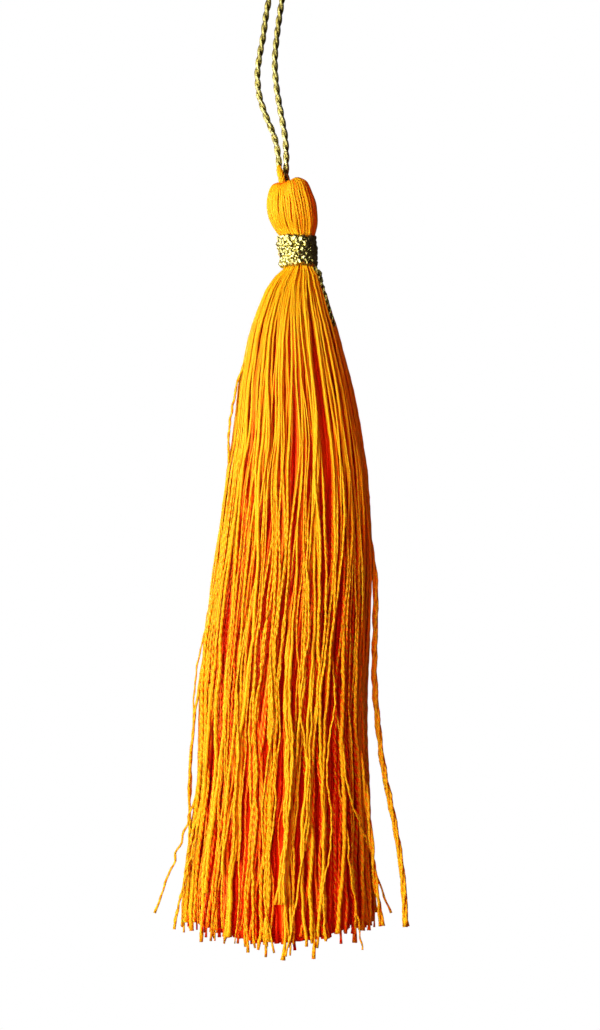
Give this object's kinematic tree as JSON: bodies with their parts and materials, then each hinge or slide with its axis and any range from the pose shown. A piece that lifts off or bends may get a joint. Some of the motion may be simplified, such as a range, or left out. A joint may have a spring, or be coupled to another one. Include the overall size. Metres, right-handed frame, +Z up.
{
  "type": "silk tassel",
  "caption": "Long floss tassel with a rounded head, a braided metallic band round its neck, a straight cut skirt and a slim twisted hanging loop.",
  "frame": {"origin": "the top of the hanging loop, where the tassel is held, above its centre of mass", "axes": "+Z up along the hanging line, -Y towards the front, +X to the right seen from the front"},
  "size_m": [0.0424, 0.0283, 0.1796],
  "materials": {
    "silk_floss": "lustrous golden yellow to orange floss, glossy along the threads",
    "gold_braid": "crinkled metallic gold braid with dark gaps",
    "gold_cord": "metallic pale gold two-ply twisted cord"
  },
  "bodies": {
    "root": {"floss_hank": "silk_floss", "stray_lock_right": "silk_floss", "stray_lock_right_low": "silk_floss", "stray_lock_left_high": "silk_floss", "stray_lock_left": "silk_floss", "stray_lock_left_low": "silk_floss", "stray_lock_left_front": "silk_floss", "cord_tie": "silk_floss", "neck_band": "gold_braid", "band_tail": "gold_braid", "cord_loop": "gold_cord"}
  },
  "joints": []
}
